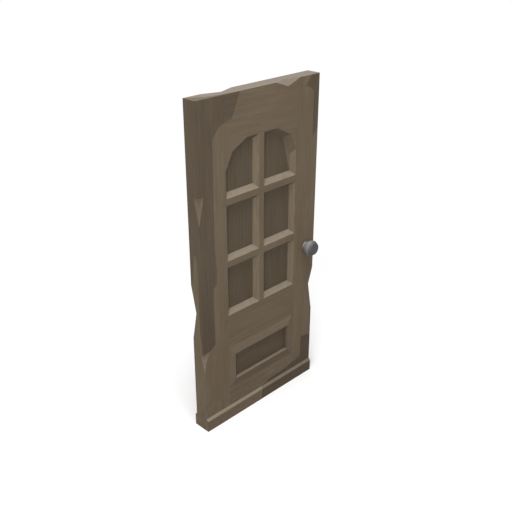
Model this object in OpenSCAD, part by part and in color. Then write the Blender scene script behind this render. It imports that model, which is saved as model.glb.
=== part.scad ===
// Framed and panelled timber door leaf with a window of six boarded lights under a faceted
// arch, a moulded lower panel, kickboards and a knob latch. Its edges are chipped and broken.
// The origin is the centre of the leaf's foot. +Z is up, +X points to the latch edge and
// the front face looks along -Y. Millimetres.

/* [Leaf] */
// Height of the leaf
leaf_h = 2000; // [1990:5:2040]
// Width of the leaf
leaf_w = 920; // [918:1:930]
// Thickness of the stiles and rails
leaf_t = 89; // [86:1:92]

/* [Frame] */
// Width of the hinge stile
hinge_stile_w = 193; // [188:1:198]
// Width of the lock stile
lock_stile_w = 181; // [178:1:184]
// Height of the bottom rail
bottom_rail_h = 212; // [205:1:218]
// Height of the lower panel's opening
panel_opening_h = 290; // [280:1:296]
// Height of the middle rail
mid_rail_h = 223; // [215:1:230]
// Thickness of the tenons
tenon_t = 28; // [24:1:32]
// Length of the rails' tenons
tenon_l = 110; // [90:5:115]

/* [Window] */
// Width of the upright bar at its face
centre_bar_w = 39; // [35:1:43]
// Height of the cross bars at their face
cross_bar_h = 40; // [36:1:44]
// Underside of the lower cross bars
lower_bar_z = 1033; // [1025:1:1040]
// Underside of the upper cross bars
upper_bar_z = 1403; // [1396:1:1410]
// Height at which the arch springs from the stiles
spring_z = 1597; // [1590:1:1604]
// Rise of the whole ellipse that the arch's facets are cut to
arch_rise = 169; // [160:1:175]
// Depth of the splay round each light
splay_d = 26; // [24:1:28]
// Width of the splay round each light
splay_w = 27; // [25:1:29]
// Width of the splay on the arch's steep facets
steep_splay_w = 36; // [30:1:37]
// Width of the splay on the facets between those and the crown
upper_splay_w = 31; // [28:1:33]

/* [Panels] */
// Thickness of the tongue round each light's board
light_tongue_t = 12; // [10:1:14]
// Width of that tongue
light_tongue_w = 8; // [6:1:9]
// Thickness of the lower panel's tongue
panel_tongue_t = 16; // [12:1:20]
// Width of the lower panel's tongue
panel_tongue_w = 12; // [10:1:14]
// Depth from the leaf's face to the lower panel's face
panel_setback = 15.5; // [14:0.5:17]
// Width of the upright moulding strips
moulding_side_w = 47; // [43:1:50]
// Height of the level moulding strips
moulding_level_h = 57; // [54:1:60]
// How far the moulding's inner rim stands proud of the leaf
moulding_proud = 6.3; // [5:0.1:8]

/* [Kickboards] */
// Thickness of a kickboard
kick_t = 12.5; // [11:0.5:14]
// Height of a kickboard against the leaf
kick_back_h = 88.7; // [86:0.1:92]
// Height of a kickboard at its outer face
kick_front_h = 73.6; // [70:0.1:76]

/* [Knobs] */
// Distance from the latch edge to the spindle
backset = 76; // [76:1:76]
// Height of the spindle above the floor
knob_z = 954; // [945:1:965]
// Widest radius of a knob, across its corners
knob_r = 50; // [49:0.5:52]
// Radius of a knob's end face, across its corners
knob_end_r = 38; // [37:0.5:40]
// Distance from the leaf to a knob's end face
knob_reach = 76; // [75:1:80]
// Radius of a rose against the leaf
rose_r = 26; // [26:0.5:28]
// Side of the square spindle
spindle_w = 8; // [8:0.1:8.2]

/* [Latch] */
// How far the latch bolt stands out of the edge
bolt_throw = 12; // [11:0.5:12]
// Width of the latch bolt across the leaf
bolt_w = 16; // [15:0.5:16]
// Height of the latch bolt
bolt_h = 20; // [18:0.5:21]
// Height of the faceplate
faceplate_h = 100; // [98:1:110]
// Turns in the latch spring
spring_turns = 7; // [5:1:8]

/* [Hidden] */

wood = [0.43, 0.38, 0.31];
dark_wood = [0.35, 0.30, 0.25];
iron = [0.52, 0.52, 0.52];
steel = [0.45, 0.43, 0.40];

$fn = 48;
half_t = leaf_t / 2;
half_w = leaf_w / 2;
open_x0 = hinge_stile_w - half_w;
open_x1 = half_w - lock_stile_w;
panel_z0 = bottom_rail_h;
panel_z1 = bottom_rail_h + panel_opening_h;
sill_z = panel_z1 + mid_rail_h;
bar_x0 = -centre_bar_w / 2;
bar_x1 = centre_bar_w / 2;
board_y = half_t - splay_d;
past = 12;
sliver = 2;
fit_gap = 0.1;

// The splays are run after the frame is joined, so they cut this far past the joint lines
joint_step = 0.3;

// The arch: facets of an ellipse between these angles, with a level crown
shoulder_deg = 36;
crown_deg = 65;
arch_x = (open_x0 + open_x1) / 2;
arch_half_w = (open_x1 - open_x0) / 2;
function tenth(v) = round(v * 10) / 10;
function arch_point(deg) =
    [tenth(arch_x + arch_half_w * cos(deg)), tenth(spring_z + arch_rise * sin(deg))];
crown_z = arch_point(crown_deg)[1];

// A light is its outline on the leaf's face, as [x, z] anticlockwise seen from the front, and
// the width of the splay along each edge of that outline
function box_outline(x0, x1, z0, z1) = [[x0, z0], [x1, z0], [x1, z1], [x0, z1]];
function square_light(x0, x1, z0, z1) =
    [box_outline(x0, x1, z0, z1), [splay_w, splay_w, splay_w, splay_w]];
lower_bar_top = lower_bar_z + cross_bar_h;
upper_bar_top = upper_bar_z + cross_bar_h;
bottom_light_left = square_light(open_x0, bar_x0, sill_z, lower_bar_z);
bottom_light_right = square_light(bar_x1, open_x1, sill_z, lower_bar_z);
middle_light_left = square_light(open_x0, bar_x0, lower_bar_top, upper_bar_z);
middle_light_right = square_light(bar_x1, open_x1, lower_bar_top, upper_bar_z);
top_light_left = [[[open_x0, upper_bar_top], [bar_x0, upper_bar_top], [bar_x0, crown_z],
        arch_point(180 - crown_deg), arch_point(180 - shoulder_deg), [open_x0, spring_z]],
    [splay_w, splay_w, splay_w, upper_splay_w, steep_splay_w, splay_w]];
top_light_right = [[[bar_x1, upper_bar_top], [open_x1, upper_bar_top], [open_x1, spring_z],
        arch_point(shoulder_deg), arch_point(crown_deg), [bar_x1, crown_z]],
    [splay_w, splay_w, steep_splay_w, upper_splay_w, splay_w, splay_w]];

// A convex outline with each edge moved inwards by its own distance, or all by the same one
function unit(v) = v / norm(v);
function inward(a, b) = let(d = unit(b - a)) [-d[1], d[0]];
function inset_each(p, moves) = [
    for (i = [0:len(p) - 1])
        let(n = len(p), h = (i + n - 1) % n, n1 = inward(p[h], p[i]),
            n2 = inward(p[i], p[(i + 1) % n]), c = n1 * n2)
        p[i] + ((moves[h] - c * moves[i]) * n1 + (moves[i] - c * moves[h]) * n2) / (1 - c * c)];
function inset(p, distance) = inset_each(p, [for (q = p) distance]);

// The outline of a light at its board, or so far inside it
function board_outline(light, extra = 0) =
    inset_each(light[0], [for (w = light[1]) w + extra]);

// An [x, z] outline made solid from y0 to y1
module slab(outline, y0, y1) {
    translate([0, y1, 0])
        rotate([90, 0, 0])
            linear_extrude(y1 - y0)
                polygon(outline);
}

// A block given by its lowest and highest corners
module block(low, high) {
    translate(low)
        cube(high - low);
}

// A round bar along +Y from a point
module rod_y(x, y, z, r, l) {
    translate([x, y, z])
        rotate([-90, 0, 0])
            cylinder(h = l, r = r);
}

// A round bar along +X from a point
module rod_x(x, y, z, r, l) {
    translate([x, y, z])
        rotate([0, 90, 0])
            cylinder(h = l, r = r);
}

// The splayed hole of one light, right through the leaf: four rings of its outline's corners,
// wide past the front face, narrow at the board's two faces and wide again past the back
module light_hole(light) {
    n = len(light[0]);
    wide = inset_each(light[0],
        [for (w = light[1]) -joint_step - past * (w + joint_step) / splay_d]);
    narrow = board_outline(light);
    rings = [[-half_t - past, wide], [-board_y, narrow], [board_y, narrow],
        [half_t + past, wide]];
    corners = [for (r = rings) for (q = r[1]) [q[0], r[0], q[1]]];
    sides = [for (k = [0:n:2 * n], i = [0:n - 1])
        let(a = k + i, b = k + (i + 1) % n) each [[a, b, b + n], [a, b + n, a + n]]];
    front = [for (i = [1:n - 2]) [0, i + 1, i]];
    back = [for (i = [1:n - 2]) [3 * n, 3 * n + i, 3 * n + i + 1]];
    polyhedron(points = corners, faces = concat(sides, front, back));
}

// The timber under the splay along one edge of a light, from corner to mitred corner
module nose(light, i) {
    outer = inset(light[0], -sliver);
    inner = board_outline(light);
    j = (i + 1) % len(outer);
    slab([outer[i], outer[j], inner[j], inner[i]], -half_t, half_t);
}

// The part of a stile's nose that stops under the top rail's foot
arch_foot_z = spring_z - 40;
module under_foot() {
    intersection() {
        children();
        block([-half_w, -half_t - past, 0], [half_w, half_t + past, arch_foot_z]);
    }
}

// The groove round a light for its board's tongue
groove_extra = 1;
module light_groove(light) {
    slab(board_outline(light, -light_tongue_w - groove_extra), -light_tongue_t / 2,
        light_tongue_t / 2);
}

// One light's board: a thick board with a tongue all round
module light_board(light) {
    color(dark_wood)
        union() {
            slab(board_outline(light, fit_gap), -board_y, board_y);
            slab(board_outline(light, -light_tongue_w), -light_tongue_t / 2,
                light_tongue_t / 2);
        }
}

// Tenon heights, in pairs, for each rail
top_tenons = [[1640, 1735], [1815, 1925]];
mid_tenons = [[panel_z1 + 25, panel_z1 + 95], [sill_z - 95, sill_z - 25]];
bottom_tenons = [[35, 100], [122, panel_z0 - 25]];

// A rail's tenons into both stiles; the mortises are the same, a little longer
mortise_extra = 1;
module tenons(heights, extra = 0) {
    for (h = heights)
        block([open_x0 - tenon_l - extra, -tenon_t / 2, h[0]],
            [open_x0 + (extra > 0 ? 0 : sliver), tenon_t / 2, h[1]]);
    for (h = heights)
        block([open_x1 - (extra > 0 ? 0 : sliver), -tenon_t / 2, h[0]],
            [open_x1 + tenon_l + extra, tenon_t / 2, h[1]]);
}

// The cross bars' stub tenons, level, and the upright bar's, at its ends
stub_t = 20;
stub_l = 22;
stub_inset = 5;
module bar_stub(x0, x1, z) {
    block([x0, -stub_t / 2, z + stub_inset], [x1, stub_t / 2, z + cross_bar_h - stub_inset]);
}
module upright_stub(z0, z1) {
    block([bar_x0 + stub_inset, -stub_t / 2, z0], [bar_x1 - stub_inset, stub_t / 2, z1]);
}

// A chip is a four-cornered piece. Each corner is carried on past the wood, in the plane of
// its own cut, so that only the cut faces meet the timber.
function beyond(p, q, amount) = p + amount * (p - q);
module four_corners(a, b, c, d) {
    turn = cross(b - a, c - a) * (d - a);
    polyhedron(points = [a, b, c, d], faces = turn > 0 ?
        [[0, 1, 2], [0, 3, 1], [1, 3, 2], [2, 3, 0]] :
        [[0, 2, 1], [0, 1, 3], [1, 2, 3], [2, 0, 3]]);
}
chip_past = 0.25;

// A chip with two cut faces: a and b on the edge, c and d on the two faces beside it
module ridge_chip(a, b, c, d) {
    middle = (c + d) / 2;
    four_corners(beyond(a, middle, chip_past), beyond(b, middle, chip_past),
        beyond(c, d, chip_past), beyond(d, c, chip_past));
}

// A chip with one long cut face and a ledge over it: c and d on the two faces, tip on the
// edge, and corner the place on the edge where the ledge starts
module notch_chip(corner, c, d, tip) {
    middle = (c + d) / 2;
    four_corners(beyond(c, d, chip_past), beyond(d, c, chip_past),
        beyond(tip, middle, chip_past), beyond(corner, middle, 1));
}

// Breaks in the top edges
module top_chips() {
    ridge_chip([-347, half_t, leaf_h], [-134, half_t, leaf_h],
        [-240, half_t - 35, leaf_h], [-232, half_t, leaf_h - 40]);
    ridge_chip([105, -half_t, leaf_h], [298, -half_t, leaf_h],
        [199, 32 - half_t, leaf_h], [202, -half_t, leaf_h - 35]);
}

// Breaks in the hinge stile's upright edges
module hinge_edge_chips() {
    notch_chip([-half_w, -half_t, 1504], [-half_w, 35 - half_t, 1498],
        [36 - half_w, -half_t, 1499], [-half_w, -half_t, 1338]);
    notch_chip([-half_w, -half_t, 549], [-half_w, 24 - half_t, 531],
        [35 - half_w, -half_t, 549], [-half_w, -half_t, 424]);
    ridge_chip([-half_w, half_t, 968], [-half_w, half_t, 622],
        [-half_w, half_t - 35, 799], [34 - half_w, half_t, 792]);
}

// The break in the lock stile's front edge
module lock_edge_chip() {
    ridge_chip([half_w, -half_t, 782], [half_w, -half_t, 476],
        [half_w - 34, -half_t, 670], [half_w, 33 - half_t, 662]);
}

// Kickboard nails: places along the foot, and the nail's own sizes
nail_xs = [-420, -250, -84, 84, 250, 420];
nail_z = 40;
nail_r = 2;
nail_head_r = 4;
nail_head_t = 1.5;
nail_l = 45;
module kick_nails(side, gap) {
    face = half_t + kick_t;
    mirror([0, side > 0 ? 1 : 0, 0])
        for (x = nail_xs) {
            rod_y(x, -face, nail_z, nail_r + gap, nail_l + gap);
            rod_y(x, -face, nail_z, nail_head_r + gap, nail_head_t + gap);
        }
}

// Moulding pins: two to a strip, driven into the lower panel
pin_r = 0.9;
pin_head_r = 1.8;
pin_head_t = 0.8;
pin_l = 28;
pin_side_x = moulding_side_w / 2;
pin_level_z = moulding_level_h / 2;
pin_places = [for (x = [open_x0 + 130, open_x1 - 130],
        z = [panel_z0 + pin_level_z, panel_z1 - pin_level_z]) [x, z],
    for (x = [open_x0 + pin_side_x, open_x1 - pin_side_x],
        z = [panel_z0 + 95, panel_z1 - 95]) [x, z]];
module moulding_pins(side, gap) {
    face = half_t + moulding_proud / 2 - pin_head_t / 2;
    mirror([0, side > 0 ? 1 : 0, 0])
        for (p = pin_places) {
            rod_y(p[0], -face, p[1], pin_r + gap, pin_l + gap);
            rod_y(p[0], -face, p[1], pin_head_r + gap, pin_head_t + gap);
        }
}

// The latch, worked out from the spindle's axis and the leaf's edge
knob_x = half_w - backset;
spindle_gap = 0.05;
run_gap = 0.05;
plate_t = 3;
plate_half_y = 12.5;
case_x0 = half_w - 110;
case_x1 = half_w - plate_t;
case_half_z = 29;
case_half_y = 10.5;
case_wall = 2;
case_skin = 1.5;
hub_r = 11;
hub_boss_r = 8;
hub_half_y = 4.5;
hub_arm_w = 5;
hub_arm_l = 20;
lug_gap = 0.2;
bolt_x0 = half_w - 26;
spring_x0 = half_w - 50;
spring_y = -1.5;
spring_r = 5;
wire_r = 0.7;
tail_y0 = 5;
tail_y1 = 8;
tail_half_z = 22;
tail_strip_half_z = 10;
travel = 12.22;
pocket_gap = 0.3;
boss_z = 13;
case_screw_z = 18;
cover_screw_z = 24;
cover_screw_back_z = 22;
cover_screw_x0 = case_x0 + 5.5;
cover_screw_x1 = case_x1 - 5;
post_r = 3;
small_screw_r = 1.2;
small_head_r = 2.4;
case_head_t = 1.4;
case_screw_l = 11;
cover_head_t = 1.2;
cover_screw_l = 9;
spindle_bore_r = 10;
wood_screw_z = 42;
wood_screw_r = 2;
wood_screw_head_r = 4;
wood_screw_l = 30;

// The rose's screws, and how the knob's profile steps out from the leaf
rose_t = 9.5;
rose_tip_r = 24;
rose_screw_ring = 19.5;
rose_screw_r = 1.5;
rose_screw_head_r = 3;
rose_screw_head_t = 2;
rose_screw_l = 25;
knob_corners = 12;
shank_r = 14;
neck_l = 10;
neck_r = 28;
waist_l = 26;
waist_r = 40;
belly_l = 52;
cap_t = 4;
cap_r = 33;
socket_l = 56;
grub_l = 21;
grub_r = 2.4;
grub_len = 14;
grub_key_r = 1.4;
grub_key_l = 2.5;

// Local +Z runs out of the leaf along the spindle, in front (-1) or behind (1)
module on_spindle(side) {
    translate([knob_x, side * half_t, knob_z])
        rotate([-90 * side, 0, 0])
            children();
}

// Countersunk screw along local +Z from its head's face, its head widest at the start
module countersunk(head_r, head_t, r, l, gap) {
    cylinder(h = head_t, r1 = head_r + gap, r2 = r + gap);
    cylinder(h = l + gap, r = r + gap);
}

module rose_screws(side, gap) {
    on_spindle(side)
        for (turn = [90, 210, 330])
            rotate([0, 0, turn])
                translate([rose_screw_ring, 0, rose_t])
                    rotate([180, 0, 0])
                        countersunk(rose_screw_head_r, rose_screw_head_t, rose_screw_r,
                            rose_screw_l, gap);
}

module faceplate_screws_wood(gap) {
    for (z = [-wood_screw_z, wood_screw_z])
        translate([half_w, 0, knob_z + z])
            rotate([0, -90, 0])
                countersunk(wood_screw_head_r, plate_t - 0.5, wood_screw_r, wood_screw_l, gap);
}

module faceplate_screws_case(gap) {
    for (z = [-case_screw_z, case_screw_z])
        translate([half_w, 0, knob_z + z])
            rotate([0, -90, 0])
                countersunk(small_head_r, case_head_t, small_screw_r, case_screw_l, gap);
}

cover_screw_places = [for (x = [cover_screw_x0, cover_screw_x1], s = [-1, 1])
    [x, s * (x == cover_screw_x0 ? cover_screw_back_z : cover_screw_z)]];
module cover_screws(gap) {
    for (p = cover_screw_places)
        translate([p[0], -case_half_y, knob_z + p[1]])
            rotate([-90, 0, 0])
                countersunk(small_head_r, cover_head_t, small_screw_r, cover_screw_l, gap);
}

// What the latch needs cut out of the lock stile
module latch_cuts() {
    block([case_x0 - pocket_gap, -case_half_y - pocket_gap, knob_z - case_half_z - pocket_gap],
        [half_w - plate_t + sliver, case_half_y + pocket_gap, knob_z + case_half_z + pocket_gap]);
    block([half_w - plate_t, -plate_half_y - fit_gap, knob_z - faceplate_h / 2 - fit_gap],
        [half_w + past, plate_half_y + fit_gap, knob_z + faceplate_h / 2 + fit_gap]);
    rod_y(knob_x, -half_t - past, knob_z, spindle_bore_r, leaf_t + 2 * past);
    faceplate_screws_wood(fit_gap);
    rose_screws(-1, fit_gap);
    rose_screws(1, fit_gap);
}

// Timber frame

module hinge_stile() {
    color(wood)
        difference() {
            union() {
                block([-half_w, -half_t, 0], [open_x0, half_t, leaf_h]);
                nose(bottom_light_left, 3);
                nose(middle_light_left, 3);
                under_foot()
                    nose(top_light_left, 5);
            }
            light_hole(bottom_light_left);
            light_hole(middle_light_left);
            light_hole(top_light_left);
            light_groove(bottom_light_left);
            light_groove(middle_light_left);
            light_groove(top_light_left);
            panel_groove();
            tenons(top_tenons, mortise_extra);
            tenons(mid_tenons, mortise_extra);
            tenons(bottom_tenons, mortise_extra);
            bar_stub(open_x0 - stub_l - mortise_extra, open_x0, lower_bar_z);
            bar_stub(open_x0 - stub_l - mortise_extra, open_x0, upper_bar_z);
            kick_nails(-1, fit_gap);
            kick_nails(1, fit_gap);
            top_chips();
            hinge_edge_chips();
        }
}

module lock_stile() {
    color(wood)
        difference() {
            union() {
                block([open_x1, -half_t, 0], [half_w, half_t, leaf_h]);
                nose(bottom_light_right, 1);
                nose(middle_light_right, 1);
                under_foot()
                    nose(top_light_right, 1);
            }
            light_hole(bottom_light_right);
            light_hole(middle_light_right);
            light_hole(top_light_right);
            light_groove(bottom_light_right);
            light_groove(middle_light_right);
            light_groove(top_light_right);
            panel_groove();
            tenons(top_tenons, mortise_extra);
            tenons(mid_tenons, mortise_extra);
            tenons(bottom_tenons, mortise_extra);
            bar_stub(open_x1, open_x1 + stub_l + mortise_extra, lower_bar_z);
            bar_stub(open_x1, open_x1 + stub_l + mortise_extra, upper_bar_z);
            kick_nails(-1, fit_gap);
            kick_nails(1, fit_gap);
            latch_cuts();
            top_chips();
            lock_edge_chip();
        }
}

// What lies between the stiles, so that a rail's mitred noses stop at them
module between_stiles() {
    intersection() {
        children();
        block([open_x0, -half_t - past, -past], [open_x1, half_t + past, leaf_h + past]);
    }
}

// The top rail's outline: its feet stand on the timber under the stiles' splays, its middle
// meets the upright bar on two mitres, and between them the lights' holes cut it to the arch
foot_x0 = open_x0 + splay_w + sliver;
foot_x1 = open_x1 - splay_w - sliver;
mitre_run = splay_w + sliver;
top_rail_outline = [[open_x0, leaf_h], [open_x0, arch_foot_z], [foot_x0, arch_foot_z],
    [bar_x0 - mitre_run, crown_z - mitre_run], [bar_x0, crown_z],
    [bar_x1, crown_z], [bar_x1 + mitre_run, crown_z - mitre_run],
    [foot_x1, arch_foot_z], [open_x1, arch_foot_z], [open_x1, leaf_h]];

module top_rail() {
    color(wood)
        difference() {
            union() {
                slab(top_rail_outline, -half_t, half_t);
                tenons(top_tenons);
            }
            light_hole(top_light_left);
            light_hole(top_light_right);
            light_groove(top_light_left);
            light_groove(top_light_right);
            upright_stub(crown_z, crown_z + stub_l + mortise_extra);
            top_chips();
        }
}

module mid_rail() {
    color(wood)
        difference() {
            union() {
                between_stiles()
                    union() {
                        block([open_x0, -half_t, panel_z1], [open_x1, half_t, sill_z]);
                        nose(bottom_light_left, 0);
                        nose(bottom_light_right, 0);
                    }
                tenons(mid_tenons);
            }
            light_hole(bottom_light_left);
            light_hole(bottom_light_right);
            light_groove(bottom_light_left);
            light_groove(bottom_light_right);
            panel_groove();
            upright_stub(sill_z - stub_l - mortise_extra, sill_z);
        }
}

module bottom_rail() {
    color(wood)
        difference() {
            union() {
                block([open_x0, -half_t, 0], [open_x1, half_t, panel_z0]);
                tenons(bottom_tenons);
            }
            panel_groove();
            kick_nails(-1, fit_gap);
            kick_nails(1, fit_gap);
        }
}

module centre_bar() {
    color(wood)
        difference() {
            union() {
                intersection() {
                    union() {
                        block([bar_x0, -half_t, sill_z], [bar_x1, half_t, crown_z]);
                        nose(bottom_light_left, 1);
                        nose(middle_light_left, 1);
                        nose(top_light_left, 1);
                        nose(bottom_light_right, 3);
                        nose(middle_light_right, 3);
                        nose(top_light_right, 5);
                    }
                    block([open_x0, -half_t, sill_z], [open_x1, half_t, crown_z]);
                }
                upright_stub(sill_z - stub_l, sill_z + sliver);
                upright_stub(crown_z - sliver, crown_z + stub_l);
            }
            light_hole(bottom_light_left);
            light_hole(middle_light_left);
            light_hole(top_light_left);
            light_hole(bottom_light_right);
            light_hole(middle_light_right);
            light_hole(top_light_right);
            light_groove(bottom_light_left);
            light_groove(middle_light_left);
            light_groove(top_light_left);
            light_groove(bottom_light_right);
            light_groove(middle_light_right);
            light_groove(top_light_right);
            for (z = [lower_bar_z, upper_bar_z])
                bar_stub(bar_x0 - sliver, bar_x1 + sliver, z);
        }
}

// A cross bar between a stile and the upright bar, under one light and over another.
// Its stub in the upright bar runs to that bar's middle, where its neighbour's meets it.
module cross_bar(x0, x1, z, above, below) {
    left = x0 < bar_x0;
    difference() {
        union() {
            intersection() {
                union() {
                    block([x0, -half_t, z], [x1, half_t, z + cross_bar_h]);
                    nose(above, 0);
                    nose(below, 2);
                }
                block([x0, -half_t, z - splay_w], [x1, half_t, z + cross_bar_h + splay_w]);
            }
            bar_stub(left ? x0 - stub_l : 0, x0 + sliver, z);
            bar_stub(x1 - sliver, left ? 0 : x1 + stub_l, z);
        }
        light_hole(above);
        light_hole(below);
        light_groove(above);
        light_groove(below);
    }
}

module upper_bar_left() {
    color(wood)
        cross_bar(open_x0, bar_x0, upper_bar_z, top_light_left, middle_light_left);
}

module upper_bar_right() {
    color(wood)
        cross_bar(bar_x1, open_x1, upper_bar_z, top_light_right, middle_light_right);
}

module lower_bar_left() {
    color(wood)
        cross_bar(open_x0, bar_x0, lower_bar_z, middle_light_left, bottom_light_left);
}

module lower_bar_right() {
    color(wood)
        cross_bar(bar_x1, open_x1, lower_bar_z, middle_light_right, bottom_light_right);
}

// Boards in the lights

module top_light_board_left() {
    light_board(top_light_left);
}

module top_light_board_right() {
    light_board(top_light_right);
}

module middle_light_board_left() {
    light_board(middle_light_left);
}

module middle_light_board_right() {
    light_board(middle_light_right);
}

module bottom_light_board_left() {
    light_board(bottom_light_left);
}

module bottom_light_board_right() {
    light_board(bottom_light_right);
}

// Lower panel, its groove in the frame, and its mouldings

panel_y = half_t - panel_setback;
panel_outline = box_outline(open_x0, open_x1, panel_z0, panel_z1);

module panel_groove() {
    slab(inset(panel_outline, -panel_tongue_w - groove_extra), -panel_tongue_t / 2,
        panel_tongue_t / 2);
}

module lower_panel() {
    color(dark_wood)
        difference() {
            union() {
                slab(panel_outline, -panel_y, panel_y);
                slab(inset(panel_outline, -panel_tongue_w), -panel_tongue_t / 2,
                    panel_tongue_t / 2);
            }
            moulding_pins(-1, fit_gap);
            moulding_pins(1, fit_gap);
        }
}

// Each strip climbs from the leaf's face to the rim and is cut off square at the rim
rim_x0 = open_x0 + moulding_side_w;
rim_x1 = open_x1 - moulding_side_w;
rim_z0 = panel_z0 + moulding_level_h;
rim_z1 = panel_z1 - moulding_level_h;
rim_y = half_t + moulding_proud;

module level_strip(z_edge, z_rim) {
    translate([open_x0, 0, 0])
        rotate([90, 0, 90])
            linear_extrude(open_x1 - open_x0)
                polygon([[-panel_y, z_edge], [-half_t, z_edge], [-rim_y, z_rim], [-panel_y, z_rim]]);
}

module upright_strip(x_edge, x_rim) {
    translate([0, 0, panel_z0])
        linear_extrude(panel_opening_h)
            polygon([[x_edge, -panel_y], [x_edge, -half_t], [x_rim, -rim_y], [x_rim, -panel_y]]);
}

module mitred_strip(side, mitre) {
    difference() {
        mirror([0, side > 0 ? 1 : 0, 0])
            intersection() {
                children();
                slab(mitre, -rim_y - past, -panel_y);
            }
        moulding_pins(side, fit_gap);
    }
}

module moulding_top(side) {
    color(wood)
        mitred_strip(side, [[open_x0, panel_z1], [rim_x0, rim_z1], [rim_x1, rim_z1],
            [open_x1, panel_z1]])
            level_strip(panel_z1, rim_z1);
}

module moulding_bottom(side) {
    color(wood)
        mitred_strip(side, [[open_x0, panel_z0], [open_x1, panel_z0], [rim_x1, rim_z0],
            [rim_x0, rim_z0]])
            level_strip(panel_z0, rim_z0);
}

module moulding_left(side) {
    color(wood)
        mitred_strip(side, [[open_x0, panel_z0], [rim_x0, rim_z0], [rim_x0, rim_z1],
            [open_x0, panel_z1]])
            upright_strip(open_x0, rim_x0);
}

module moulding_right(side) {
    color(wood)
        mitred_strip(side, [[open_x1, panel_z0], [open_x1, panel_z1], [rim_x1, rim_z1],
            [rim_x1, rim_z0]])
            upright_strip(open_x1, rim_x1);
}

// Kickboards

module kickboard(side) {
    color(wood)
        difference() {
            mirror([0, side > 0 ? 1 : 0, 0])
                translate([-half_w, 0, 0])
                    rotate([90, 0, 90])
                        linear_extrude(leaf_w)
                            polygon([[-half_t, 0], [-half_t, kick_back_h],
                                [-half_t - kick_t, kick_front_h], [-half_t - kick_t, 0]]);
            kick_nails(side, fit_gap);
        }
}

// Knobs

module knob(side) {
    color(iron)
        difference() {
            on_spindle(side)
                difference() {
                    union() {
                        translate([0, 0, 0.5])
                            cylinder(h = neck_l + 1, r = shank_r);
                        rotate([0, 0, 180 / knob_corners]) {
                            translate([0, 0, neck_l])
                                cylinder(h = waist_l - neck_l, r1 = neck_r, r2 = waist_r,
                                    $fn = knob_corners);
                            translate([0, 0, waist_l])
                                cylinder(h = belly_l - waist_l, r1 = waist_r, r2 = knob_r,
                                    $fn = knob_corners);
                            translate([0, 0, belly_l])
                                cylinder(h = knob_reach - belly_l, r1 = knob_r, r2 = knob_end_r,
                                    $fn = knob_corners);
                        }
                    }
                    knob_hollow();
                    translate([0, 0, knob_reach - cap_t])
                        cylinder(h = cap_t + past, r = cap_r);
                    block([-spindle_w / 2 - spindle_gap, -spindle_w / 2 - spindle_gap, -past],
                        [spindle_w / 2 + spindle_gap, spindle_w / 2 + spindle_gap, socket_l]);
                }
            grub_hole(side);
        }
}

// The hollow inside a knob, round the boss that takes the spindle
boss_r = 13;
boss_l = 62;
hollow_l = 31;
hollow_r = 34;
hollow_belly_r = 43.5;
hollow_end_r = 30;
cap_seat = 3;
module knob_hollow() {
    rotate_extrude()
        polygon([[boss_r, hollow_l], [hollow_r, hollow_l], [hollow_belly_r, belly_l],
            [hollow_end_r + cap_seat, knob_reach - cap_t - cap_seat], [hollow_end_r, knob_reach - cap_t],
            [hollow_end_r, knob_reach - cap_t + 1], [0, knob_reach - cap_t + 1],
            [0, boss_l], [boss_r, boss_l]]);
}

module grub_hole(side) {
    on_spindle(side)
        translate([0, 0, grub_l])
            rotate([-90 * side, 0, 0])
                cylinder(h = knob_r, r = grub_r + run_gap);
}

module grub_screw(side) {
    color(steel)
        on_spindle(side)
            translate([0, 0, grub_l])
                rotate([-90 * side, 0, 0])
                    translate([0, 0, spindle_w / 2 + spindle_gap])
                        difference() {
                            cylinder(h = grub_len, r = grub_r);
                            translate([0, 0, grub_len - grub_key_l])
                                cylinder(h = past, r = grub_key_r, $fn = 6);
                        }
}

module knob_cap(side) {
    color(iron)
        on_spindle(side)
            translate([0, 0, knob_reach - cap_t])
                cylinder(h = cap_t, r = cap_r - run_gap);
}

module rose(side) {
    color(steel)
        difference() {
            on_spindle(side)
                difference() {
                    cylinder(h = rose_t, r1 = rose_r, r2 = rose_tip_r);
                    translate([0, 0, -past])
                        cylinder(h = rose_t + 2 * past, r = shank_r + run_gap);
                }
            rose_screws(side, fit_gap);
        }
}

module spindle() {
    color(steel)
        block([knob_x - spindle_w / 2, -half_t - socket_l + 1, knob_z - spindle_w / 2],
            [knob_x + spindle_w / 2, half_t + socket_l - 1, knob_z + spindle_w / 2]);
}

// Latch

module latch_hub() {
    color(steel)
        difference() {
            union() {
                rod_y(knob_x, -hub_half_y, knob_z, hub_r, 2 * hub_half_y);
                rod_y(knob_x, -case_half_y, knob_z, hub_boss_r, 2 * case_half_y);
                block([knob_x - hub_arm_w / 2, -hub_half_y, knob_z - hub_arm_l],
                    [knob_x + hub_arm_w / 2, hub_half_y, knob_z + hub_arm_l]);
            }
            block([knob_x - spindle_w / 2 - spindle_gap, -half_t,
                    knob_z - spindle_w / 2 - spindle_gap],
                [knob_x + spindle_w / 2 + spindle_gap, half_t,
                    knob_z + spindle_w / 2 + spindle_gap]);
        }
}

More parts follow.
